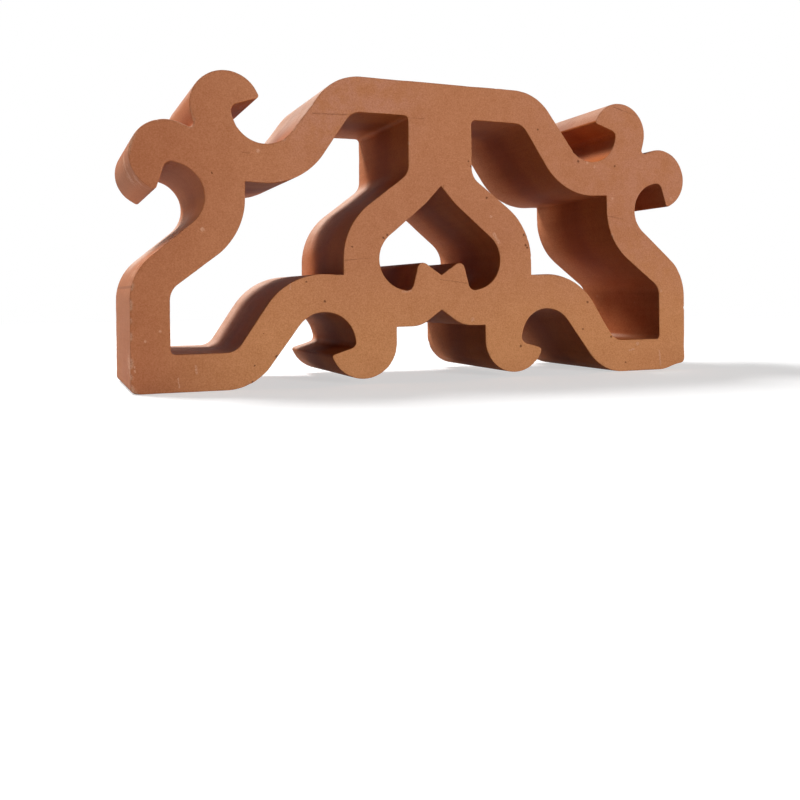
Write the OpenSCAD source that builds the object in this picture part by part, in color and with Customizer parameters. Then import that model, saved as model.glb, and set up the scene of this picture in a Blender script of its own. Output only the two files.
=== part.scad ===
// Terracotta breeze block: one module of a pierced screen wall, extruded, cut by wire and fired.
// Width runs along X, depth (the way the clay left the die) along Y, height along Z.
// It stands on its two feet, and its front is the face towards -Y.
//
// The pattern lives in a square tile, one on each side of the middle. Inside a tile it is
// mirrored about the diagonal, with the side scroll a little further out than the top one,
// and its lower half is its upper half given a half turn. So one run of bends, the crown,
// draws the scroll on the top, the scroll on the side and the scroll beside the foot.

/* [Block] */
// Height of the block, which is also the side of one square tile; the width is two tiles
block_h = 150; // [130:1:200]
// Depth of the block, along the extrusion
block_d = 80; // [40:1:150]
// Thickness of the straight bars
wall = 17.5; // [12:0.1:22]
// Thickness of the bars where they bend round the hollows
scroll_wall = 18.6; // [15:0.1:22]

/* [Pattern] */
// Where the top bar starts to bend: its distance from the middle, in tile sides
bend_at = 0.28; // [0.25:0.001:0.31]
// Middle of the upper hollow: its distance from the middle of the block, in tile sides
hollow_across = 0.593; // [0.58:0.001:0.61]
// Middle of the upper hollow: its height above the floor, in tile sides
hollow_up = 0.867; // [0.86:0.001:0.885]
// Middle of the upper scroll end: its distance from the middle of the block, in tile sides
lobe_across = 0.714; // [0.70:0.001:0.73]

/* [Scrolls] */
// Radius of the round hollows, inside the scrolls and in the heart
hollow_r = 15.3; // [11:0.1:18]
// Radius of the round scroll ends on the top and the sides
lobe_r = 16.4; // [13:0.1:20]
// Radius of the round scroll ends beside the feet
low_lobe_r = 17.2; // [14:0.1:19]
// How much nearer the middle of the block those stand than the upper ones
low_lobe_shift = 1.5; // [0:0.1:3]
// How far the scroll ends stay below the top line and above the floor
scroll_gap = 2.4; // [0.5:0.1:6]
// How far the scroll ends on the sides stay inside the flanks of the feet
side_gap = 0.1; // [0.1:0.1:4]
// Rounding of the beak on each scroll
beak_r = 1.4; // [0.5:0.1:3]
// How far the beak's tip is turned up from the scroll end's middle, in degrees
beak_turn = 22; // [12:1:26]
// Rounding of the throat behind the beak
throat_r = 3.3; // [1.5:0.1:5]
// Angle at which the throat leaves the hollow, below the level
throat_turn = 4; // [0:1:12]
// Rounding of the notch between the two upper scroll ends
notch_r = 1.5; // [0.5:0.1:3]
// How far that rounding lies out from where it would touch both scroll ends
notch_rise = 3.4; // [0.5:0.1:6]

/* [Corners] */
// Outer radius where the top bar and the side bars turn into the curves
bend_r = 26; // [22.2:0.1:31]
// Radius of the outer bottom corners
foot_r = 3; // [0.5:0.1:8]
// Radius in the square corners of the side openings
corner_r = 2; // [0.5:0.1:6]
// Straight run beside the sharp corners of the side openings
crotch_run = 1.8; // [0.5:0.1:6]

/* [Heart] */
// How far the heart's sides turn between its tip and their straight runs, in degrees
tip_turn = 8; // [2:0.1:20]
// How far the sides of the tongue that stands up into the heart are inside its hollows' middles
tongue_inset = 4.5; // [3:0.1:7]
// Radius of the tongue's two round shoulders
tongue_r = 3.2; // [1.5:0.1:4]
// How far the shoulders stay below the middle of the heart's hollows
tongue_drop = 1.5; // [-3:0.1:4]
// Depth of the notch between the shoulders
tongue_notch = 6.2; // [3:0.1:9]
// Radius at the bottom of the two pits beside the tongue
pit_r = 3.5; // [2:0.1:5]
// Angle at which the pits leave the hollows, below the level
pit_turn = 85; // [75:1:95]
// How much higher the two lobes under the middle hang than the pattern alone would put them
belly_lift = 0.9; // [0:0.1:3]
// How far the point between those lobes lies below their middles
cusp_drop = 8.4; // [4:0.1:12]

/* [Smoothness] */
// Largest turn between two points of an arc, in degrees
arc_step = 8; // [4:1:12]

/* [Hidden] */

tile = block_h;
clay = [0.70, 0.43, 0.30];

// The beak reaches just past the edge of the scroll end, and the throat and the pit just
// past the edge of the hollow
beak_lip = 0.1;
sink = 0.2;

// The bend is as round as bend_r asks, or as the room beside the hollow lets it be
bend_room = (hollow_across - bend_at) * tile - hollow_r - max(0, scroll_wall - wall);
bend_fit = min(bend_r, bend_room);

// Middles of the arcs, as [across, up] in the tile, counted from the block's middle and the floor
bend = [bend_at * tile, tile - bend_fit];
hollow = [hollow_across * tile, hollow_up * tile];
lobe = [lobe_across * tile, tile - scroll_gap - lobe_r];
throat = hollow + (hollow_r - throat_r + sink) * [cos(throat_turn), -sin(throat_turn)];

// The lower scroll end, as it lies before the half turn that brings it down
low_lobe = [lobe[0] + low_lobe_shift, tile - scroll_gap - low_lobe_r];

// The side scroll is the top one mirrored and moved outwards
reach = scroll_gap - side_gap;
side_hollow = [hollow[1] + reach, hollow[0]];
side_lobe = [lobe[1] + reach, lobe[0]];

// The heart's hollows and bends are those of the tile's side, given a half turn, and so are
// the lobes beside the point under the middle
heart = [tile, tile] - side_hollow;
heart_bend = [tile - bend[1], tile - bend[0]];
pit = heart + (hollow_r - pit_r + sink) * [cos(pit_turn), -sin(pit_turn)];
shoulder = [heart[0] - tongue_inset - tongue_r, heart[1] - tongue_drop - tongue_r];
belly = [tile, tile + belly_lift] - side_lobe;
cusp = belly[1] - cusp_drop;

// The corner where the inner edge of the lower scroll end meets the level under the middle
low_notch = [tile - low_lobe[0] - low_lobe_r, belly[1] - lobe_r];

// Where two circles of radius r about a and b cross on the left of the way from a to b, and
// run further out. Circles that stay apart give the point halfway instead of the crossing.
function meeting(a, b, r, run) =
    let (way = b - a, left = [-way[1], way[0]] / norm(way))
    (a + b) / 2 + left * (sqrt(max(0, r * r - way * way / 4)) + run);

notch = meeting(lobe, side_lobe, lobe_r + notch_r, notch_rise);
bar_r = hollow_r + scroll_wall;
crotch = meeting(side_hollow, hollow, bar_r, crotch_run);

// A pulley is [across, up, radius]. An outline is a belt laid round a list of them: the
// radius is positive where the belt turns left, negative where it turns right, and zero at
// a sharp corner.
function pulley(c, r) = [c[0], c[1], r];

// Heading of the straight run that leaves pulley a for pulley b
function heading(a, b) =
    atan2(b[1] - a[1], b[0] - a[0]) - asin((b[2] - a[2]) / norm([b[0] - a[0], b[1] - a[1]]));

function around(angle) = angle - 360 * floor(angle / 360);

// Points of the belt on pulley p, which it reaches with heading h0 and leaves with h1
function arc(p, h0, h1) =
    p[2] == 0 ? [[p[0], p[1]]] :
    let (turn = p[2] > 0 ? around(h1 - h0) : -around(h0 - h1),
         n = max(1, ceil(abs(turn) / arc_step)))
    [for (i = [0:n]) let (h = h0 + turn * i / n) [p[0] + p[2] * sin(h), p[1] - p[2] * cos(h)]];

function belt(ps) =
    let (n = len(ps), h = [for (i = [0:n - 1]) heading(ps[i], ps[(i + 1) % n])])
    [for (i = [0:n - 1]) each arc(ps[i], h[(i + n - 1) % n], h[i])];

// The ways the pattern repeats. A mirrored run is read backwards, so the belt still runs
// the same way round.
function backwards(ps) = [for (i = [len(ps) - 1:-1:0]) ps[i]];
function across_diagonal(ps) = backwards([for (p = ps) [p[1], p[0], p[2]]]);
function half_turn(ps) = [for (p = ps) [tile - p[0], tile - p[1], p[2]]];
function to_left(ps) = [for (p = ps) [-p[0], p[1], p[2]]];
function to_right(ps) = backwards(ps);

// From the middle of the top bar, down its bend, round the hollow and the beak to a scroll
// end of radius r about c; the hollow is moved outwards by out
function crown(out, c, r) = [
    pulley(bend, bend_fit),
    pulley(hollow + [0, out], -hollow_r),
    pulley(throat + [0, out], -throat_r),
    pulley(c + (r - beak_r + beak_lip) * [-cos(beak_turn), sin(beak_turn)], beak_r),
    pulley(c, r)
];

// One half of the outer edge, from the top bar round the side to the point under the middle
half_edge = concat(
    crown(0, lobe, lobe_r),
    [pulley(notch, -notch_r)],
    across_diagonal(crown(reach, lobe + [0, reach], lobe_r)),
    [[tile - foot_r, foot_r, foot_r]],
    half_turn(crown(0, low_lobe, low_lobe_r)),
    [pulley(low_notch, 0), pulley(belly, lobe_r)]
);

// Upper half of a side opening, from the corner beside the stem to the flank
opening_bend = bend_fit - wall;
half_opening = [
    [wall + corner_r, tile - wall - corner_r, corner_r],
    pulley(bend, opening_bend),
    pulley(hollow, -bar_r),
    pulley(crotch, 0),
    pulley(side_hollow, -bar_r),
    [bend[1], bend[0], opening_bend]
];

// One half of the heart, from its tip down round the hollow to the tongue's shoulder
half_heart = [
    pulley(heart_bend, -bend_fit),
    pulley(heart, hollow_r),
    pulley(pit, pit_r),
    pulley(shoulder, -tongue_r)
];

module edge() {
    polygon(belt(concat(to_left(half_edge), [[0, cusp, 0]], to_right(half_edge))));
}

module side_opening() {
    polygon(belt(to_left(concat(half_opening, half_turn(half_opening)))));
}

module heart_opening() {
    // The bends touch the middle line, so a bend's tangents from the tip are equally long
    tip_heading = around(heading(to_left(half_heart)[0], to_left(half_heart)[1]) + tip_turn);
    tip_h = heart_bend[1] - bend_fit / tan((tip_heading - 90) / 2);
    notch_h = shoulder[1] + tongue_r - tongue_notch;
    polygon(belt(concat(
        [[0, tip_h, 0]], to_left(half_heart), [[0, notch_h, 0]], to_right(half_heart))));
}

module block() {
    color(clay)
    translate([0, block_d / 2, 0])
    rotate([90, 0, 0])
    linear_extrude(block_d)
    difference() {
        edge();
        side_opening();
        mirror([1, 0, 0]) side_opening();
        heart_opening();
    }
}

block();
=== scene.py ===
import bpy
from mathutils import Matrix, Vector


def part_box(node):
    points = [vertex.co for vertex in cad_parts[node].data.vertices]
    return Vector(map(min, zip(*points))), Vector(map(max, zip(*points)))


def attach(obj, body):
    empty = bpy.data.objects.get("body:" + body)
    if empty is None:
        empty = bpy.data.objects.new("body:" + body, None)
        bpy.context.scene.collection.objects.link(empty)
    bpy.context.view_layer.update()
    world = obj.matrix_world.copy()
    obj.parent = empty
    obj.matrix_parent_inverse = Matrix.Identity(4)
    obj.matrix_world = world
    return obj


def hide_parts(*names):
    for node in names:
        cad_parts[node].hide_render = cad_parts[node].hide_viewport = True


bl_info = {
    "name": "Terracotta Breeze Block",
    "version": (1, 0, 0),
    "blender": (4, 5, 0),
    "location": "View3D > Sidebar > Breeze Block",
    "description": "Gives a fired clay screen block its worn arrises, surface and studio",
    "category": "Object",
}

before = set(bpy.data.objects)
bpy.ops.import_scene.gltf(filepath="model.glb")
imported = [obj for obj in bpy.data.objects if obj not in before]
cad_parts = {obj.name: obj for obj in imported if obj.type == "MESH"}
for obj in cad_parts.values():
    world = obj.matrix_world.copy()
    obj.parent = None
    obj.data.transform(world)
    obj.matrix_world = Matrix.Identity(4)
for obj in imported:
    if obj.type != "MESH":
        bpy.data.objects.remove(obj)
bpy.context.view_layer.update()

import math

import bmesh
import bpy
import numpy as np
from mathutils import Vector, geometry, kdtree

CAD_NODE = "block"
PIECE = "fired_block"
MM = 0.001

LOW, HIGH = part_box(CAD_NODE)
FRONT, BACK = LOW.y, HIGH.y
DEPTH = BACK - FRONT
MIDDLE = (LOW + HIGH) / 2


# ---------------------------------------------------------------- what a user would change


def length(name, text, default, **more):
    """A size in metres, typed in here in millimetres."""
    return bpy.props.FloatProperty(
        name=name, description=text, default=default * MM, subtype="DISTANCE", unit="LENGTH",
        precision=5, **more)


def share(name, text, default):
    return bpy.props.FloatProperty(
        name=name, description=text, default=default, min=0, max=1, subtype="FACTOR")


def power(name, text, default):
    return bpy.props.FloatProperty(
        name=name, description=text, default=default, min=0, subtype="POWER", unit="POWER")


def colour(name, text, default):
    return bpy.props.FloatVectorProperty(
        name=name, description=text, default=default, size=3, min=0, max=1, subtype="COLOR")


class BlockForm(bpy.types.PropertyGroup):
    """How the clay departs from the sharp shape that leaves the die."""

    face_grain: length("Face mesh", "Distance between points of the mesh on the cut faces", 1.45)
    edge_grain: length("Edge mesh", "Longest distance between points along the outline", 1.3)
    corner_grain: length("Corner mesh", "Distance between points at sharp corners", 0.4)
    rows: bpy.props.IntProperty(
        name="Rows", description="Rows of the mesh from the front face to the back", default=24,
        min=6, max=60)
    arris: length("Arris", "Smallest radius of the arrises left by the cutting wire", 0.3)
    arris_wear: length("Arris wear", "How much the radius grows where the arris is rubbed", 0.8)
    chip: length("Chips", "How much the radius grows where a chip has come off", 1.6)
    chip_size: length("Chip size", "Size of the chips along the arris", 4.0)
    foot_wear: length("Foot wear", "Height rubbed off the outer corner of the right foot", 3.2)
    face_ripple: length("Face ripple", "Depth of the broad drags that the wire leaves", 0.22)
    wall_ripple: length("Wall ripple", "Depth of the die marks along the walls", 0.25)
    seed: bpy.props.IntProperty(
        name="Seed", description="Choice of one block's chips and ripples", default=4)


class ClayFinish(bpy.types.PropertyGroup):
    """Colours of the fired clay, among them painted shade and painted light."""

    body: colour("Body", "Fired clay on the cut faces", (0.440, 0.176, 0.085))
    # Painted light: clay lighter and more orange low on the cut faces, where the low front lamp lights
    # them most
    warm_painted_light: colour("Warm clay", "Where the kiln has left the clay more orange", (0.545, 0.238, 0.101))
    # Darker and redder clay towards the left end of the cut faces
    dusky: colour("Dusky clay", "Where the kiln has left the clay redder", (0.368, 0.130, 0.060))
    skin: colour("Skin", "Smooth clay on the extruded walls", (0.42, 0.118, 0.032))
    # Painted light: skin paler towards the back inside the openings, where the light from behind
    # falls; a plain paler tint on the outer walls
    pale_skin_and_back_light: colour("Bloom", "Paler skin of the walls towards the back", (0.46, 0.183, 0.092))
    # Dust with painted sheen: paler on what faces up, on the top of the block and towards the back,
    # where the light falls
    dust_and_sheen: colour("Dust", "Pale dust on the walls that face up", (0.66, 0.47, 0.37))
    rosy: colour("Rosy clay", "Where the wire has left a film of fine clay", (0.448, 0.189, 0.111))
    # Painted shade: darker skin midway through the depth of the openings
    deep: colour("Deep skin", "Darker clay midway through the openings", (0.31, 0.074, 0.019))
    scuff: colour("Scuffs", "Pale clay where the skin is rubbed", (0.60, 0.33, 0.21))
    # Also the colour of the painted shade line at the crease of the left flank
    pore: colour("Pores", "Dark clay inside pores and scratches", (0.10, 0.030, 0.014))
    roughness: share("Roughness", "Roughness of the cut faces", 0.90)
    skin_roughness: share("Skin roughness", "Roughness of the extruded walls", 0.65)
    gloss: share("Gloss", "Strength of the reflections", 0.05)


class Studio(bpy.types.PropertyGroup):
    """Camera, lamps and floor."""

    camera_at: bpy.props.FloatVectorProperty(
        name="Camera place", description="Where the camera stands", size=3,
        default=(-0.18745, -0.48135, 0.04387), subtype="TRANSLATION", unit="LENGTH", precision=5)
    camera_turn: bpy.props.FloatVectorProperty(
        name="Camera turn", description="How the camera is turned", size=3,
        default=tuple(math.radians(a) for a in (89.606, 0.502, -23.835)), subtype="EULER")
    lens: bpy.props.FloatProperty(
        name="Lens", description="Focal length of the camera, in millimetres", default=42.68,
        subtype="DISTANCE_CAMERA")
    shift: bpy.props.FloatVectorProperty(
        name="Shift", description="Shift of the lens across and up, in picture widths", size=2,
        default=(-0.0695, -0.1251))
    floor_size: length("Floor", "Side of the square floor", 12000)
    floor_colour: colour("Floor colour", "Pale floor", (0.55, 0.55, 0.55))
    floor_glow: share("Floor glow", "White that is added where the floor is looked at", 0.55)
    front: power("Front lamp", "Power of the lamp in front, a little to the right", 21.0)
    window: power("Window lamp", "Power of the lamp behind, high on the left", 38.0)
    side: power("Side lamp", "Power of the weak lamp low on the left", 4.5)
    fill: power("Fill lamp", "Power of the weaker lamp behind, on the right", 4.5)
    ambient: share("Surroundings", "Level of the light from all round", 0.02)


GROUPS = {"block_form": BlockForm, "clay_finish": ClayFinish, "studio": Studio}


# ---------------------------------------------------------------- node trees


class Tree:
    """Short calls for wiring a node tree: every call gives back what the node puts out."""

    def __init__(self, tree):
        self.tree = tree

    def node(self, kind, **settings):
        made = self.tree.nodes.new(kind)
        for name, value in settings.items():
            setattr(made, name, value)
        return made

    def feed(self, socket, value):
        if isinstance(value, bpy.types.NodeSocket):
            self.tree.links.new(value, socket)
        elif value is not None:
            socket.default_value = value

    def put(self, kind, inputs, out=0, **settings):
        """Adds a node and feeds its inputs, named or numbered."""
        made = self.node(kind, **settings)
        for name, value in inputs.items():
            self.feed(made.inputs[name], value)
        return made.outputs[out]

    def math(self, operation, a, b=None, c=None, clamp=False):
        inputs = {i: v for i, v in enumerate((a, b, c)) if v is not None}
        return self.put("ShaderNodeMath", inputs, operation=operation, use_clamp=clamp)

    def vector(self, operation, a, b=None, out=0):
        inputs = {i: v for i, v in enumerate((a, b)) if v is not None}
        return self.put("ShaderNodeVectorMath", inputs, out, operation=operation)

    def scaled(self, v, factor):
        return self.put("ShaderNodeVectorMath", {"Vector": v, "Scale": factor}, operation="SCALE")

    def parts(self, v):
        return self.put("ShaderNodeSeparateXYZ", {"Vector": v}, 0).node.outputs

    def joined(self, x, y, z):
        return self.put("ShaderNodeCombineXYZ", {"X": x, "Y": y, "Z": z})

    def ramp(self, value, low, high, to_low=0.0, to_high=1.0):
        """A smooth step of value from low to high."""
        return self.put("ShaderNodeMapRange", {
            "Value": value, "From Min": low, "From Max": high, "To Min": to_low, "To Max": to_high},
            interpolation_type="SMOOTHSTEP")

    def noise(self, at, size, detail=2.0, roughness=0.5, seed=0.0):
        """Noise with waves about as long as size, in metres."""
        fixed = isinstance(size, float)
        return self.put("ShaderNodeTexNoise", {
            "Vector": at, "W": seed, "Scale": 1 / size if fixed else self.math("DIVIDE", 1, size),
            "Detail": detail, "Roughness": roughness}, noise_dimensions="4D")


# ---------------------------------------------------------------- marks on this one block

# Where the front arris is chipped: across and up, then how far the chip runs and how deep it
# is, in millimetres
CHIPS = (
    (-149.5, 1.5, 5.0, 2.4), (-150, 8, 2.5, 1.4), (-150, 14, 4.0, 1.8), (-150, 26, 3.5, 1.5),
    (-150, 33, 2.5, 1.3), (-150, 40, 4.5, 1.7), (-149, 48.5, 3.0, 1.4), (-150.5, 113, 13.0, 1.4),
    (-80, 117, 2.2, 1.4), (-75.5, 122.5, 2.0, 1.2), (-73, 126, 2.0, 1.0), (-103.5, 127, 2.2, 1.1),
    (-103, 121.5, 2.2, 1.1), (17.5, 129, 2.2, 1.1), (17.5, 121, 2.0, 0.9), (17.5, 112, 2.0, 0.9),
    (17.0, 53.5, 2.5, 1.4), (-70, 24, 2.2, 1.1), (57, 14, 2.6, 1.3), (-45, 17, 2.0, 0.9),
    (69, 38, 2.0, 0.9),
)
# Height of the crease across the left flank, where a dark line of painted shade is drawn, in
# millimetres
CREASE = 48
# Thin dark lines and pale ones: from one place to another, across and up, then half the
# width, in millimetres
DARK_LINES = (
    (-66, 130.3, -47, 131, 0.28), (-18, 131.5, -9, 131.6, 0.22), (-1, 51, 14, 49, 0.24),
    (-51, 60.3, -38, 61.4, 0.20), (98.8, 85.6, 108.6, 84, 0.28), (103.5, 145.2, 118.5, 141.6, 0.28),
    (-99.6, 110, -96.4, 109.8, 0.35), (1.6, 98.6, 1.2, 97, 0.35), (-124, 123.4, -121, 124, 0.5),
)
PALE_LINES = (
    (-77.8, 49.5, -77.8, 46.5, 0.35), (29.5, 74.5, 32.5, 70, 0.9), (-21, 45, -17, 45.4, 0.6),
    (-121.6, 12, -121.4, 8.5, 0.5), (-129.5, 6.5, -129, 2.5, 0.4), (-148.2, 12.5, -148, 10, 0.4),
    (132.5, 11, 133.2, 3, 0.6), (112.5, 11.5, 115.5, 12.2, 0.5),
)
# Pores and pale specks: across and up, then the radius, in millimetres
PORES = (
    (-84.6, 15, 0.9), (-95, 11, 0.5), (-96, 3.5, 0.6), (-113.7, 100, 0.6), (-61, 40.6, 0.7),
    (-70, 50, 0.6), (-47, 67, 0.6), (-31, 71.5, 0.6), (-29, 73, 0.7), (-2.5, 33.5, 0.8),
    (25.6, 93, 0.7), (15.3, 111.4, 0.6), (16.7, 109, 0.6), (47, 74.4, 0.8), (48, 69, 0.8),
    (49, 67.6, 0.6), (56, 130, 0.7), (44.7, 16, 0.9), (17.6, 130.5, 0.6), (17.4, 127.5, 0.5),
    (17.6, 124.5, 0.5), (17.4, 118, 0.6), (17.6, 114, 0.4), (80.6, 114.6, 0.8), (103.7, 113, 0.7),
    (85.7, 38.5, 0.7), (82.7, 24, 0.7), (100.7, 19.4, 0.7), (110, 5, 0.6),
)
PALE_SPECKS = (
    (-92.4, 111, 1.1), (86.3, 114, 1.0), (91, 112, 0.9), (17, 30.4, 1.4), (28, 83.5, 1.0),
    (118, 15, 1.4), (134, 44.3, 1.0), (141, 96.5, 0.8), (102, 95.3, 0.9), (-118, 74, 1.2),
    (-99, 60, 1.0), (-143.4, 23.7, 0.8), (-137, 28, 0.7), (-112, 33, 0.6),
)
# Where the left flank is scuffed: across, back and up, then how far that reaches, in millimetres
SCUFFED = ((-151, -28, 110, 26), (-140, -22, 66, 22), (-150, -32, 8, 12))


# ---------------------------------------------------------------- the outline, read off the frame

SHARP = math.radians(25)


def front_loops():
    """The outlines of the front face, each as points (across, up) with the clay on the left."""
    mesh = bmesh.new()
    mesh.from_mesh(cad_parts[CAD_NODE].data)
    bmesh.ops.remove_doubles(mesh, verts=mesh.verts, dist=1e-3 * MM)
    behind = [v for v in mesh.verts if v.co.y > FRONT + 0.01 * MM]
    bmesh.ops.delete(mesh, geom=behind, context="VERTS")
    follows = {}
    for edge in mesh.edges:
        if len(edge.link_faces) == 1:
            loop = edge.link_loops[0]
            follows[loop.vert.index] = (loop.link_loop_next.vert.index, loop.vert.co.copy())
    mesh.free()
    loops = []
    while follows:
        start = here = next(iter(follows))
        points = []
        while here in follows:
            after, co = follows.pop(here)
            points.append((co.x, co.z))
            here = after
        if here != start:
            raise RuntimeError("The front face's outline isn't closed")
        loops.append(np.array(points))
    return loops


def rounded(points, steps=12):
    """The outline with its chords bent into arcs again, as close points, and which are corners."""
    chord = np.roll(points, -1, 0) - points
    span = np.linalg.norm(chord, axis=1)
    ahead = chord / span[:, None]
    behind, before = np.roll(ahead, 1, 0), np.roll(span, 1)
    turn = np.arccos(np.clip((ahead * behind).sum(1), -1, 1))
    corner = turn > SHARP
    tangent = ahead + behind
    tangent = np.where((before > 1.6 * span)[:, None], behind, tangent)
    tangent = np.where((span > 1.6 * before)[:, None], ahead, tangent)
    tangent /= np.linalg.norm(tangent, axis=1)[:, None]
    leave = np.where(corner[:, None], ahead, tangent) * span[:, None]
    reach = np.roll(np.where(corner[:, None], behind, tangent), -1, 0) * span[:, None]
    t = (np.arange(steps) / steps)[None, :, None]
    a, b = points[:, None], np.roll(points, -1, 0)[:, None]
    curve = ((2 * t**3 - 3 * t**2 + 1) * a + (t**3 - 2 * t**2 + t) * leave[:, None]
             + (3 * t**2 - 2 * t**3) * b + (t**3 - t**2) * reach[:, None])
    corners = np.zeros((len(points), steps), bool)
    corners[:, 0] = corner
    return curve.reshape(-1, 2), corners.ravel()


def spaced(points, corner, form):
    """The outline with points closer together where it bends, and one at each corner."""
    if corner.any():
        shift = -int(np.argmax(corner))
        points, corner = np.roll(points, shift, 0), np.roll(corner, shift)
    chord = np.roll(points, -1, 0) - points
    span = np.linalg.norm(chord, axis=1)
    heading = np.arctan2(chord[:, 1], chord[:, 0])
    turn = np.abs((heading - np.roll(heading, 1) + math.pi) % (2 * math.pi) - math.pi)
    bend = np.where(corner, 0, turn) / np.maximum(span, 1e-9)
    bend = np.maximum.reduce([np.roll(bend, k) for k in (-2, -1, 0, 1, 2)])
    gap = np.clip(0.35 / np.maximum(bend, 1e-9), form.corner_grain, form.edge_grain)
    gap = np.where(corner, form.corner_grain, gap)
    for x, z, run, _ in CHIPS:
        off = np.linalg.norm(points - np.array((x, z)) * MM, axis=1)
        gap = np.where(off < 1.2 * run * MM, np.minimum(gap, 0.55 * MM), gap)
    for _ in range(2):
        for i in range(-1, len(gap) - 1):
            gap[i + 1] = min(gap[i + 1], gap[i] + 0.3 * span[i])
        gap, span = gap[::-1], np.roll(span[::-1], -1)
    closed = np.vstack([points, points[:1]])
    measure = np.concatenate([[0], np.cumsum(span / gap)])
    stops = np.flatnonzero(corner) if corner.any() else np.array([0])
    stops = np.append(stops, len(points))
    places = [np.linspace(measure[a], measure[b], max(2, round(measure[b] - measure[a])) + 1)[:-1]
              for a, b in zip(stops[:-1], stops[1:])]
    places = np.concatenate(places)
    return np.stack([np.interp(places, measure, closed[:, k]) for k in (0, 1)], 1)


def inside(places, loops):
    """Which places lie in the clay, by counting the outline's crossings to the right of each."""
    a = np.vstack(loops)
    b = np.vstack([np.roll(loop, -1, 0) for loop in loops])
    found = np.zeros(len(places), bool)
    for first in range(0, len(places), 2048):
        x, z = places[first:first + 2048, 0, None], places[first:first + 2048, 1, None]
        across = (a[:, 1] > z) != (b[:, 1] > z)
        with np.errstate(divide="ignore", invalid="ignore"):
            meets = a[:, 0] + (b[:, 0] - a[:, 0]) * (z - a[:, 1]) / (b[:, 1] - a[:, 1])
        found[first:first + 2048] = (across & (x < meets)).sum(1) % 2 == 1
    return found


# Distances of the rows of points that run beside the outline, so that the arris has points to bend
BESIDE = (0.4 * MM, 0.95 * MM, 1.75 * MM)


def face_points(loops, form):
    """Points for the cut face: rows beside the outline, and a jittered grid in the rest."""
    edge = kdtree.KDTree(sum(map(len, loops)))
    for i, place in enumerate(np.vstack(loops)):
        edge.insert((*place, 0), i)
    edge.balance()
    chosen = []
    for beside in BESIDE:
        for loop in loops:
            ahead = np.roll(loop, -1, 0) - np.roll(loop, 1, 0)
            inward = np.stack([-ahead[:, 1], ahead[:, 0]], 1)
            inward /= np.linalg.norm(inward, axis=1)[:, None]
            last = Vector((1, 1))
            for place in loop + inward * beside:
                clear = edge.find((*place, 0))[2] > 0.85 * beside
                if clear and (Vector(place) - last).length > 0.6 * max(beside, form.corner_grain):
                    chosen.append(tuple(place))
                    last = Vector(place)
    draw = np.random.default_rng(form.seed)
    step, rise = form.face_grain, form.face_grain * math.sqrt(0.75)
    across = np.arange(LOW.x, HIGH.x, step)
    up = np.arange(LOW.z, HIGH.z, rise)
    grid = np.stack(np.meshgrid(across, up), -1)
    grid[1::2, :, 0] += step / 2
    grid = grid.reshape(-1, 2) + draw.uniform(-0.18, 0.18, (len(across) * len(up), 2)) * step
    clear = BESIDE[-1] + 0.6 * step
    far = np.array([edge.find((*place, 0))[2] > clear for place in grid])
    grid = grid[far]
    return chosen + [tuple(place) for place in grid[inside(grid, loops)]]


def cut_face(form):
    """A flat mesh of the front face, with its normals to the front."""
    loops = [spaced(*rounded(points), form) for points in front_loops()]
    border, first = [], 0
    for loop in loops:
        border += [(first + i, first + (i + 1) % len(loop)) for i in range(len(loop))]
        first += len(loop)
    points = [tuple(p) for p in np.vstack(loops)] + face_points(loops, form)
    scaled = [Vector(p) / MM for p in points]
    places, _, faces, *_ = geometry.delaunay_2d_cdt(scaled, border, [], 1, 1e-6)
    places = np.array([tuple(p) for p in places]) * MM
    faces = np.array(faces)
    faces = faces[inside(places[faces].mean(1), loops)]
    mesh = bpy.data.meshes.new("cut_face")
    mesh.from_pydata([(x, FRONT, z) for x, z in places], [], faces.tolist())
    mesh.update()
    if mesh.polygons[0].normal.y > 0:
        mesh.flip_normals()
    return mesh


# ---------------------------------------------------------------- the block, as a rule

# Share of the rows' spacing that is moved from the ends to the middle
ROW_EASE = 0.94
# The tree's sizes: socket name, the property that sets it, and the kind of socket
FORM_INPUTS = (
    ("Depth", None, "NodeSocketFloat"),
    ("Rows", "rows", "NodeSocketInt"),
    ("Arris", "arris", "NodeSocketFloat"),
    ("Arris Wear", "arris_wear", "NodeSocketFloat"),
    ("Chip", "chip", "NodeSocketFloat"),
    ("Chip Size", "chip_size", "NodeSocketFloat"),
    ("Foot Wear", "foot_wear", "NodeSocketFloat"),
    ("Face Ripple", "face_ripple", "NodeSocketFloat"),
    ("Wall Ripple", "wall_ripple", "NodeSocketFloat"),
    ("Seed", "seed", "NodeSocketInt"),
)


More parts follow.
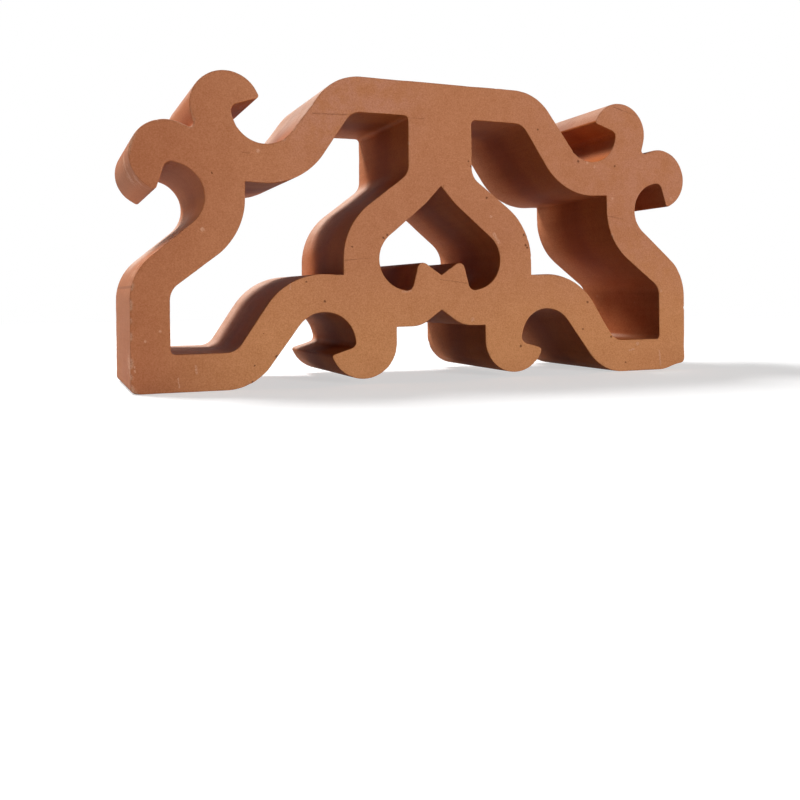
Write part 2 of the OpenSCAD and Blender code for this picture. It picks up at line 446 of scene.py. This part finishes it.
def extruded(t, face, depth, rows):
    """The cut face drawn through the depth of the block, in rows that are closer at the ends."""
    start = t.put("GeometryNodeSetPosition", {
        "Geometry": face, "Offset": t.joined(0, depth, 0)})
    into = t.node("GeometryNodeRepeatInput")
    out = t.node("GeometryNodeRepeatOutput")
    into.pair_with_output(out)
    t.feed(into.inputs["Iterations"], rows)
    t.feed(into.inputs["Geometry"], start)

    def row(number):
        turn = t.math("MULTIPLY", t.math("DIVIDE", number, rows), math.tau)
        eased = t.math("MULTIPLY", t.math("SINE", turn), -ROW_EASE)
        return t.math("MULTIPLY", t.math("DIVIDE", t.math("ADD", turn, eased), math.tau), depth)

    number = into.outputs["Iteration"]
    step = t.math("SUBTRACT", row(t.math("ADD", number, 1)), row(number))
    normal = t.node("GeometryNodeInputNormal").outputs[0]
    to_front = t.vector("DOT_PRODUCT", normal, (0, -1, 0), out=1)
    drawn = t.put("GeometryNodeExtrudeMesh", {
        "Mesh": into.outputs["Geometry"], "Selection": t.math("GREATER_THAN", to_front, 0.5),
        "Offset": (0, -1, 0), "Offset Scale": step, "Individual": False}, mode="FACES")
    t.feed(out.inputs["Geometry"], drawn)
    back = t.put("GeometryNodeFlipFaces", {"Mesh": start})
    both = t.node("GeometryNodeJoinGeometry")
    for part in (out.outputs["Geometry"], back):
        t.tree.links.new(part, both.inputs["Geometry"])
    return t.put("GeometryNodeMergeByDistance", {
        "Geometry": both.outputs["Geometry"], "Distance": 1e-3 * MM})


def ripple_on_face(t, at, seed):
    """Broad drags left across a cut face by the wire."""
    turned = t.put("ShaderNodeVectorRotate", {"Vector": at, "Angle": math.radians(4)},
                   rotation_type="Y_AXIS")
    drags = t.noise(t.vector("MULTIPLY", turned, (0.16, 1, 1)), 9 * MM, 2, 0.5, seed)
    swells = t.noise(at, 40 * MM, 1, 0.5, seed)
    return t.math("MULTIPLY_ADD", drags, 0.5, t.math("MULTIPLY", swells, 0.5))


def ripple_on_wall(t, at, seed):
    """Die marks that run the depth of a wall."""
    return t.noise(t.vector("MULTIPLY", at, (1, 0.07, 1)), 8 * MM, 2, 0.5, seed)


def fired_tree(material):
    """Nodes that make the block of its cut face: its depth, arrises, chips and ripples."""
    tree = bpy.data.node_groups.new("fired_block", "GeometryNodeTree")
    tree.interface.new_socket("Geometry", in_out="INPUT", socket_type="NodeSocketGeometry")
    for name, _, kind in FORM_INPUTS:
        tree.interface.new_socket(name, in_out="INPUT", socket_type=kind)
    tree.interface.new_socket("Geometry", in_out="OUTPUT", socket_type="NodeSocketGeometry")
    t = Tree(tree)
    given = t.node("NodeGroupInput").outputs
    body = extruded(t, given["Geometry"], given["Depth"], given["Rows"])

    # Each point's own surface: the cut faces look along Y, the walls across it, an arris both ways
    at = t.node("GeometryNodeInputPosition").outputs[0]
    from_middle = t.math("SUBTRACT", t.parts(at)["Y"], MIDDLE.y)
    half = t.math("MULTIPLY_ADD", given["Depth"], 0.5, -1e-3 * MM)
    on_face = t.math("GREATER_THAN", t.math("ABSOLUTE", from_middle), half)
    bend = t.node("GeometryNodeInputMeshEdgeAngle").outputs["Unsigned Angle"]
    is_arris = t.math("MULTIPLY", on_face, t.math("GREATER_THAN", bend, math.radians(45)))
    arrises = t.put("GeometryNodeSeparateGeometry", {
        "Geometry": body, "Selection": is_arris}, domain="EDGE")
    nearest = t.put("GeometryNodeProximity", {"Geometry": arrises}, target_element="EDGES").node
    near, distance = nearest.outputs["Position"], nearest.outputs["Distance"]
    off_arris = t.math("GREATER_THAN", distance, 1e-3 * MM)
    away = t.vector("NORMALIZE", t.vector("SUBTRACT", at, near))
    normal = t.parts(t.node("GeometryNodeInputNormal").outputs[0])
    across = t.vector("NORMALIZE", t.joined(normal["X"], 0, normal["Z"]))
    only_face = t.math("MULTIPLY", on_face, off_arris)
    wall_out = t.scaled(across, t.math("SUBTRACT", 1, only_face))
    face_out = t.joined(0, t.math("MULTIPLY", t.math("SIGN", from_middle), on_face), 0)

    # The radius of the arris: a little everywhere, more where it is rubbed, most at a chip
    seed = t.math("MULTIPLY", given["Seed"], 3.7)
    rub = t.ramp(t.noise(near, 22 * MM, 2, 0.6, seed), 0.42, 0.78)
    loose = t.noise(near, given["Chip Size"], 1, 0.6, seed)
    chips = t.ramp(loose, 0.60, 0.80)
    radius = t.math("MULTIPLY_ADD", given["Arris Wear"], rub, given["Arris"])
    radius = t.math("MULTIPLY_ADD", given["Chip"], chips, radius)
    for x, z, run, deep in CHIPS:
        off = t.vector("DISTANCE", near, (x * MM, FRONT, z * MM), out=1)
        radius = t.math("MAXIMUM", radius, t.ramp(off, 0.2 * run * MM, run * MM, deep * MM, 0))
    share_in = t.math("DIVIDE", distance, radius, clamp=True)
    turn = t.math("MULTIPLY", t.math("SUBTRACT", 1, share_in), math.pi / 4)
    inward = t.math("MULTIPLY", radius, t.math("SUBTRACT", 1, t.math("SINE", turn)))
    inward = t.math("SUBTRACT", inward, t.math("MINIMUM", distance, radius))
    sink = t.math("MULTIPLY", radius, t.math("SUBTRACT", 1, t.math("COSINE", turn)))
    worn = t.math("MULTIPLY", t.math("SUBTRACT", 1, share_in), t.ramp(radius, 0.6 * MM, 1.6 * MM))

    # Ripples go inwards only. Near an arris each surface also follows the ripple of the other.
    face_dip = t.math("MULTIPLY", ripple_on_face(t, at, seed), given["Face Ripple"])
    wall_dip = t.math("MULTIPLY", ripple_on_wall(t, at, seed), given["Wall Ripple"])
    face_near = t.math("MULTIPLY", ripple_on_face(t, near, seed), given["Face Ripple"])
    wall_near = t.math("MULTIPLY", ripple_on_wall(t, near, seed), given["Wall Ripple"])
    other = t.put("ShaderNodeMix", {"Factor": only_face, 2: face_near, 3: wall_near})
    other = t.math("MULTIPLY", other, t.ramp(distance, 0, 5 * MM, 1, 0))
    moves = (
        t.scaled(away, t.math("ADD", inward, other)),
        t.scaled(wall_out, t.math("MULTIPLY", t.math("ADD", sink, wall_dip), -1)),
        t.scaled(face_out, t.math("MULTIPLY", t.math("ADD", sink, face_dip), -1)),
    )
    offset = t.vector("ADD", t.vector("ADD", moves[0], moves[1]), moves[2])

    # The outer corner of the right foot is rubbed away from below, at the front
    place = t.parts(at)
    rubbed = t.math("MULTIPLY", t.ramp(place["X"], HIGH.x - 17 * MM, HIGH.x - 2 * MM),
                    t.ramp(place["Z"], 0, 13 * MM, 1, 0))
    rubbed = t.math("MULTIPLY", rubbed, t.ramp(place["Y"], FRONT + 5 * MM, FRONT + 50 * MM, 1, 0.15))
    lift = t.joined(0, 0, t.math("MULTIPLY", rubbed, given["Foot Wear"]))
    offset = t.vector("ADD", offset, lift)

    # The finish reads which surface it is on and how worn it is
    flat = t.math("ABSOLUTE", normal["Y"])
    named = t.put("GeometryNodeStoreNamedAttribute", {
        "Geometry": body, "Name": "cut", "Value": t.math("GREATER_THAN", flat, 0.5)},
        data_type="FLOAT", domain="FACE")
    named = t.put("GeometryNodeStoreNamedAttribute", {
        "Geometry": named, "Name": "worn", "Value": worn}, data_type="FLOAT", domain="POINT")
    shaped = t.put("GeometryNodeSetPosition", {"Geometry": named, "Offset": offset})
    smooth = t.put("GeometryNodeSetShadeSmooth", {"Geometry": shaped})
    real = t.put("GeometryNodeRealizeInstances", {"Geometry": smooth})
    finished = t.put("GeometryNodeSetMaterial", {"Geometry": real, "Material": material})
    t.tree.links.new(finished, t.node("NodeGroupOutput").inputs["Geometry"])
    return tree


def plain_mesh(made, name):
    """The evaluated object's mesh as a plain one, on an object of its own."""
    bpy.context.view_layer.update()
    shown = made.evaluated_get(bpy.context.evaluated_depsgraph_get())
    mesh = bpy.data.meshes.new_from_object(shown, depsgraph=bpy.context.evaluated_depsgraph_get())
    bpy.data.objects.remove(made)
    mesh.name = name
    piece = bpy.data.objects.new(name, mesh)
    bpy.context.scene.collection.objects.link(piece)
    return piece


def fired_block(form, finish):
    """The whole block: one cut face, made a block by the tree."""
    made = bpy.data.objects.new("cut_face", cut_face(form))
    bpy.context.scene.collection.objects.link(made)
    tree = fired_tree(terracotta(finish))
    rule = made.modifiers.new("fired_block", "NODES")
    rule.node_group = tree
    sockets = {s.name: s.identifier for s in tree.interface.items_tree if s.in_out == "INPUT"}
    for name, source, _ in FORM_INPUTS:
        rule[sockets[name]] = getattr(form, source) if source else DEPTH
    piece = plain_mesh(made, PIECE)
    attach(piece, "root")
    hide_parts(CAD_NODE)
    return piece


# ---------------------------------------------------------------- the clay


def spots(t, at, size, seed, rare, small, large):
    """Round spots scattered through the clay: 1 inside one. rare is the share of cells left empty."""
    cells = t.put("ShaderNodeTexVoronoi", {
        "Vector": at, "W": seed, "Scale": 1 / size, "Randomness": 0.9},
        voronoi_dimensions="4D").node.outputs
    draw = t.put("ShaderNodeSeparateColor", {"Color": cells["Color"]}).node.outputs
    reach = t.put("ShaderNodeMapRange", {
        "Value": draw["Green"], "To Min": small / size, "To Max": large / size})
    depth = t.math("SUBTRACT", 1, t.math("DIVIDE", cells["Distance"], reach))
    spot = t.ramp(depth, 0.0, 0.45)
    return t.math("MULTIPLY", spot, t.math("GREATER_THAN", draw["Red"], rare))


def mixed(t, factor, a, b):
    """The colour a, turned into b by factor."""
    return t.put("ShaderNodeMix", {"Factor": factor, 6: a, 7: b}, 2, data_type="RGBA")


def rgba(c):
    return (*c, 1)


def strongest(t, values):
    """The largest of several values."""
    found = values[0]
    for value in values[1:]:
        found = t.math("MAXIMUM", found, value)
    return found


def line_mark(t, at, x0, z0, x1, z1, half):
    """1 along a line on the front face, fading at its sides and its ends."""
    start, way = Vector((x0, 0, z0)) * MM, Vector((x1 - x0, 0, z1 - z0)) * MM
    from_start = t.vector("SUBTRACT", at, tuple(start))
    along = t.vector("DOT_PRODUCT", from_start, tuple(way / way.length_squared), out=1)
    along = t.math("ADD", along, 0, clamp=True)
    off = t.put("ShaderNodeVectorMath", {0: along, 1: tuple(-way), 2: from_start},
                operation="MULTIPLY_ADD")
    return t.ramp(t.vector("LENGTH", off, out=1), 0.4 * half * MM, 1.3 * half * MM, 1, 0)


def round_mark(t, at, x, z, radius):
    """1 inside a spot on the front face, fading at its edge."""
    off = t.vector("DISTANCE", at, (x * MM, 0, z * MM), out=1)
    return t.ramp(off, 0.5 * radius * MM, 1.1 * radius * MM, 1, 0)


def region_mark(t, at, x, y, z, reach):
    """1 near a place on the block, fading to 0 as far off as it reaches."""
    off = t.vector("DISTANCE", at, (x * MM, y * MM, z * MM), out=1)
    return t.ramp(off, 0.5 * reach * MM, reach * MM, 1, 0)


def surface_lines(t, at, cut):
    """Drags of the wire across the cut faces, and streaks along and across the walls."""
    tilted = t.put("ShaderNodeVectorRotate", {"Vector": at, "Angle": math.radians(3)},
                   rotation_type="Y_AXIS")
    drags = t.noise(t.vector("MULTIPLY", tilted, (0.15, 1, 1)), 0.9 * MM, 3, 0.6, 1)
    streaks = t.noise(t.vector("MULTIPLY", at, (1, 0.03, 1)), 2.0 * MM, 3, 0.6, 2)
    bands = t.noise(t.vector("MULTIPLY", at, (0.12, 1, 0.12)), 3.5 * MM, 2, 0.5, 8)
    wall_lines = t.math("MULTIPLY_ADD", bands, 0.3, t.math("MULTIPLY", streaks, 0.7))
    return t.put("ShaderNodeMix", {"Factor": cut, 2: wall_lines, 3: drags})


def own_marks(t, at, cut, grain, blotches):
    """The marks of this one block: its scratches with a painted shade line at the crease, its pores
    and its pale scuffs.
    """
    place = t.parts(at)
    wall = t.math("SUBTRACT", 1, cut)
    on_front = t.math("MULTIPLY", cut, t.math("LESS_THAN", place["Y"], FRONT + 2 * MM))
    # The outlines of the marks are a little uneven
    uneven = t.noise(at, 1.3 * MM, 1, 0.5, 9)
    uneven = t.scaled(t.joined(uneven, 0, t.noise(at, 1.3 * MM, 1, 0.5, 10)), 0.9 * MM)
    flat = t.vector("ADD", t.joined(place["X"], 0, place["Z"]), uneven)
    flat = t.vector("SUBTRACT", flat, (0.45 * MM, 0, 0.45 * MM))

    scratches = strongest(t, [line_mark(t, flat, *m) for m in DARK_LINES])
    scratches = t.math("MULTIPLY", on_front, scratches)
    scratches = t.math("MULTIPLY", scratches, t.ramp(blotches, 0.40, 0.60, 0.35, 1))
    # Painted shade: a dark line along the crease of the left flank, which joins the scratches and is
    # darkened with them
    crease_shade = t.math("ABSOLUTE", t.math("SUBTRACT", place["Z"], CREASE * MM))
    crease_shade = t.math("MULTIPLY", t.ramp(crease_shade, 0.3 * MM, 0.9 * MM, 1, 0),
                    t.math("LESS_THAN", place["X"], LOW.x + 2.5 * MM))
    crease_shade = t.math("MULTIPLY", t.math("MULTIPLY", crease_shade, 0.6), wall)
    scratches = t.math("MAXIMUM", scratches, crease_shade)

    holes = t.math("MULTIPLY", on_front, strongest(t, [round_mark(t, flat, *m) for m in PORES]))

    pale = [line_mark(t, flat, *m) for m in PALE_LINES]
    pale += [round_mark(t, flat, *m) for m in PALE_SPECKS]
    pale = t.math("MULTIPLY", on_front, strongest(t, pale))
    scuffed = strongest(t, [region_mark(t, at, *m) for m in SCUFFED])
    scuffed = t.math("MULTIPLY", t.math("MULTIPLY", wall, scuffed), t.ramp(blotches, 0.48, 0.58))
    pale = t.math("MULTIPLY", t.math("MAXIMUM", pale, scuffed), t.ramp(grain, 0.35, 0.55))
    return scratches, holes, pale


def face_colour(t, at, blotches, finish):
    """The cut faces: darker and redder towards the left end, lighter and more orange low down as
    painted light, rosy in places.
    """
    place = t.parts(at)
    patches = t.noise(at, 60 * MM, 2, 0.5, 4)
    drift = t.math("MULTIPLY", t.math("SUBTRACT", patches, 0.5), 0.9)
    # Painted light: lighter, more orange clay low down on the face, where the low front lamp lights it
    # most
    painted_light_low = t.ramp(place["Z"], 5 * MM, 95 * MM, 1, 0)
    body = mixed(t, t.math("ADD", painted_light_low, drift, clamp=True), rgba(finish.body), rgba(finish.warm_painted_light))
    redness = t.ramp(place["X"], LOW.x, LOW.x + 70 * MM, 0.8, 0)
    body = mixed(t, t.math("ADD", redness, drift, clamp=True), body, rgba(finish.dusky))
    from_top_left = t.vector("DISTANCE", at, (-50 * MM, MIDDLE.y, 142 * MM), out=1)
    film = t.math("MAXIMUM", t.ramp(from_top_left, 42 * MM, 65 * MM, 0.9, 0),
                  t.ramp(place["X"], 0, HIGH.x, 0, 0.7))
    film = t.math("MULTIPLY", film, t.ramp(place["Z"], 20 * MM, 90 * MM))
    film = t.math("MULTIPLY", film, t.ramp(blotches, 0.35, 0.65))
    return mixed(t, film, body, rgba(finish.rosy))


def wall_colour(t, at, blotches, finish):
    """The walls: inside the openings painted shade midway and painted light towards the back; dust
    with painted sheen on what faces up.
    """
    place = t.parts(at)
    across = t.math("ABSOLUTE", place["X"])
    within = t.ramp(across, 110 * MM, 125 * MM, 1, 0)
    # Painted shade: inside the openings the skin is darker midway through the depth
    midway = t.ramp(t.math("ABSOLUTE", place["Y"]), 3 * MM, 22 * MM, 1, 0)
    skin = mixed(t, t.math("MULTIPLY", within, midway), rgba(finish.skin), rgba(finish.deep))
    # Painted light: inside the openings the skin turns paler towards the back, where the light from
    # behind falls; the outer walls get a plain share of the paler skin
    towards_back = t.ramp(place["Y"], 5 * MM, BACK, 0, 0.8)
    pale_and_back_light_share = t.put("ShaderNodeMix", {"Factor": within, 2: 0.4, 3: towards_back})
    skin = mixed(t, pale_and_back_light_share, skin, rgba(finish.pale_skin_and_back_light))

    # Dust and painted sheen lie on what faces up: on the top of the block all over, lower down towards
    # the back, where the light falls
    upward = t.ramp(t.parts(t.node("ShaderNodeTexCoord").outputs["Normal"])["Z"], 0.05, 0.8)
    dust_and_sheen_top = t.math("MULTIPLY", t.ramp(place["Z"], 116 * MM, 134 * MM),
                       t.ramp(place["X"], -60 * MM, 40 * MM, 0.78, 0.5))
    dust_and_sheen_share = t.math("MAXIMUM", dust_and_sheen_top, t.ramp(place["Y"], -25 * MM, 25 * MM, 0, 0.78))
    dust_and_sheen_share = t.math("MULTIPLY", dust_and_sheen_share, t.ramp(blotches, 0.3, 0.6, 0.75, 1))
    return mixed(t, t.math("MULTIPLY", dust_and_sheen_share, upward), skin, rgba(finish.dust_and_sheen))


def terracotta(finish):
    """Fired clay: cut faces with fine drags and pores, smoother redder walls, pale rubbed arrises."""
    material = bpy.data.materials.new("terracotta")
    material.use_nodes = True
    material.node_tree.nodes.clear()
    t = Tree(material.node_tree)
    at = t.node("ShaderNodeTexCoord").outputs["Object"]
    cut = t.node("ShaderNodeAttribute", attribute_name="cut").outputs["Fac"]
    worn = t.node("ShaderNodeAttribute", attribute_name="worn").outputs["Fac"]

    lines = surface_lines(t, at, cut)
    grain = t.noise(at, 0.7 * MM, 3, 0.75, 3)
    blotches = t.noise(at, 10 * MM, 4, 0.7, 5)
    scratches, holes, pale = own_marks(t, at, cut, grain, blotches)
    pores = t.math("MAXIMUM", spots(t, at, 8 * MM, 1, 0.72, 0.25 * MM, 0.6 * MM),
                   spots(t, at, 24 * MM, 2, 0.60, 0.5 * MM, 1.0 * MM))
    pores = t.math("MAXIMUM", pores, holes)
    flecks = spots(t, at, 9 * MM, 3, 0.72, 0.4 * MM, 1.1 * MM)

    # The flanks have the colour of the cut faces
    across = t.math("ABSOLUTE", t.parts(at)["X"])
    off_flank = t.ramp(across, HIGH.x - 8 * MM, HIGH.x - 1 * MM, 1, 0)
    walls = t.math("MULTIPLY", t.math("SUBTRACT", 1, cut), off_flank)
    base = mixed(t, walls, face_colour(t, at, blotches, finish), wall_colour(t, at, blotches, finish))

    # Lines, grain and blotches are paler or darker than the clay: pale grains greyer, dark ones redder
    line_strength = t.put("ShaderNodeMix", {"Factor": cut, 2: 0.25, 3: 0.10})
    tone = t.math("MULTIPLY_ADD", t.math("SUBTRACT", lines, 0.5), line_strength, 1)
    tone = t.math("MULTIPLY_ADD", t.math("SUBTRACT", grain, 0.5), 0.85, tone)
    tone = t.math("MULTIPLY_ADD", t.math("SUBTRACT", blotches, 0.5), 0.24, tone)
    tone = t.joined(tone, t.math("MULTIPLY_ADD", tone, 1.4, -0.4),
                    t.math("MULTIPLY_ADD", tone, 1.8, -0.8))
    base = t.vector("MULTIPLY", base, tone)

    # What lies over it, from below upwards: the place, the strength and the colour. The scratches also
    # carry the painted shade line at the crease
    rubbed = t.math("MULTIPLY", worn, t.ramp(grain, 0.32, 0.52))
    for where, strength, colour_there in (
            (flecks, 0.22, finish.scuff), (pale, 0.62, finish.scuff), (rubbed, 0.75, finish.scuff),
            (pores, 0.75, finish.pore), (scratches, 0.55, finish.pore)):
        base = mixed(t, t.math("MULTIPLY", where, strength), base, rgba(colour_there))

    rough = t.put("ShaderNodeMix", {"Factor": cut, 2: finish.skin_roughness, 3: finish.roughness})
    rough = t.math("MULTIPLY_ADD", t.math("SUBTRACT", grain, 0.5), 0.10, rough)

    height = t.math("MULTIPLY_ADD", lines, 0.5, t.math("MULTIPLY", grain, 0.35))
    height = t.math("SUBTRACT", height, t.math("MULTIPLY", pores, 2.0))
    height = t.math("SUBTRACT", height, scratches)
    bump = t.put("ShaderNodeBump", {"Height": height, "Strength": 0.4, "Distance": 0.2 * MM})
    shader = t.put("ShaderNodeBsdfPrincipled", {
        "Base Color": base, "Roughness": rough, "Specular IOR Level": finish.gloss, "Normal": bump})
    t.tree.links.new(shader, t.node("ShaderNodeOutputMaterial").inputs["Surface"])
    return material


# ---------------------------------------------------------------- the studio


# The lamps: where each hangs and how wide it is, in metres. The studio has the power of each.
LAMPS = {
    "front": ((0.45, -1.64, 0.22), 0.4),
    "window": ((-0.70, 0.82, 1.42), 0.5),
    "side": ((-1.62, 0.43, 0.35), 0.4),
    "fill": ((1.45, 0.75, 0.45), 0.8),
}


def lamp(name, at, size, watts):
    """A square soft lamp at a place, facing the block."""
    light = bpy.data.lights.new(name, "AREA")
    light.shape, light.size, light.energy = "SQUARE", size, watts
    made = bpy.data.objects.new(name, light)
    made.location = at
    made.rotation_euler = (Vector(at) - MIDDLE).to_track_quat("Z", "Y").to_euler()
    bpy.context.scene.collection.objects.link(made)


def looked_at(t):
    """1 for the camera's rays and for those that reflections and glass send on."""
    path = t.node("ShaderNodeLightPath").outputs
    seen = t.math("ADD", path["Is Camera Ray"], path["Is Glossy Ray"])
    return t.math("ADD", seen, path["Is Transmission Ray"], clamp=True)


# How far from the block the floor starts to turn into the white around, and where it has
NEAR_FLOOR, FAR_FLOOR = 0.45, 1.3


def floor(studio):
    """A wide pale floor, that keeps the block's shadow and turns white further off."""
    half = studio.floor_size / 2
    mesh = bpy.data.meshes.new("floor")
    corners = [(-half, -half), (half, -half), (half, half), (-half, half)]
    mesh.from_pydata([(x, y, LOW.z) for x, y in corners], [], [(0, 1, 2, 3)])
    material = bpy.data.materials.new("floor")
    material.use_nodes = True
    material.node_tree.nodes.clear()
    t = Tree(material.node_tree)
    pale = t.put("ShaderNodeBsdfDiffuse", {"Color": rgba(studio.floor_colour)})
    seen = looked_at(t)
    glow = t.put("ShaderNodeEmission", {"Strength": t.math("MULTIPLY", seen, studio.floor_glow)})
    near = t.put("ShaderNodeAddShader", {0: pale, 1: glow})
    white = t.put("ShaderNodeEmission", {"Strength": 1.0})
    off = t.vector("LENGTH", t.node("ShaderNodeTexCoord").outputs["Object"], out=1)
    fade = t.math("MULTIPLY", seen, t.ramp(off, NEAR_FLOOR, FAR_FLOOR))
    surface = t.put("ShaderNodeMixShader", {0: fade, 1: near, 2: white})
    t.tree.links.new(surface, t.node("ShaderNodeOutputMaterial").inputs["Surface"])
    mesh.materials.append(material)
    made = bpy.data.objects.new("floor", mesh)
    bpy.context.scene.collection.objects.link(made)


def surroundings(studio):
    """White where the camera or a reflection sees past the floor, and a low light from all round."""
    world = bpy.data.worlds.new("studio")
    world.use_nodes = True
    t = Tree(world.node_tree)
    strength = t.put("ShaderNodeMix", {"Factor": looked_at(t), 2: studio.ambient, 3: 1.0})
    sky = world.node_tree.nodes["Background"]
    sky.inputs["Color"].default_value = (1, 1, 1, 1)
    t.tree.links.new(strength, sky.inputs["Strength"])
    bpy.context.scene.world = world


def camera(studio):
    data = bpy.data.cameras.new("camera")
    data.lens = studio.lens
    data.shift_x, data.shift_y = studio.shift
    data.clip_start, data.clip_end = 0.01, 50
    made = bpy.data.objects.new("camera", data)
    made.location = studio.camera_at
    made.rotation_euler = studio.camera_turn
    bpy.context.scene.collection.objects.link(made)
    bpy.context.scene.camera = made


# ---------------------------------------------------------------- operators and panel


class BREEZE_OT_fired_block(bpy.types.Operator):
    """Make the fired clay block in place of the plain one"""

    bl_idname = "breeze_block.fired_block"
    bl_label = "Fire the Block"

    def execute(self, context):
        fired_block(context.scene.block_form, context.scene.clay_finish)
        return {"FINISHED"}


class BREEZE_OT_studio(bpy.types.Operator):
    """Set the floor, the lamps and the camera round the block"""

    bl_idname = "breeze_block.studio"
    bl_label = "Set the Studio"

    def execute(self, context):
        studio = context.scene.studio
        context.scene.view_settings.view_transform = "Standard"
        floor(studio)
        surroundings(studio)
        for name, (at, size) in LAMPS.items():
            lamp(name, at, size, getattr(studio, name))
        camera(studio)
        return {"FINISHED"}


class BREEZE_PT_panel(bpy.types.Panel):
    """Sizes, colours and steps of the breeze block"""

    bl_label = "Breeze Block"
    bl_idname = "BREEZE_PT_panel"
    bl_space_type = "VIEW_3D"
    bl_region_type = "UI"
    bl_category = "Breeze Block"

    def draw(self, context):
        for step, group in ((BREEZE_OT_fired_block, ("block_form", "clay_finish")),
                            (BREEZE_OT_studio, ("studio",))):
            box = self.layout.box()
            for name in group:
                settings = getattr(context.scene, name)
                for key in settings.bl_rna.properties.keys():
                    if key not in ("rna_type", "name"):
                        box.prop(settings, key)
            box.operator(step.bl_idname)


CLASSES = (*GROUPS.values(), BREEZE_OT_fired_block, BREEZE_OT_studio, BREEZE_PT_panel)


def register():
    for cls in CLASSES:
        bpy.utils.register_class(cls)
    for name, cls in GROUPS.items():
        setattr(bpy.types.Scene, name, bpy.props.PointerProperty(type=cls))


def unregister():
    for name in GROUPS:
        delattr(bpy.types.Scene, name)
    for cls in reversed(CLASSES):
        bpy.utils.unregister_class(cls)


def main():
    register()
    bpy.ops.breeze_block.fired_block()
    bpy.ops.breeze_block.studio()


if __name__ == "__main__":
    main()
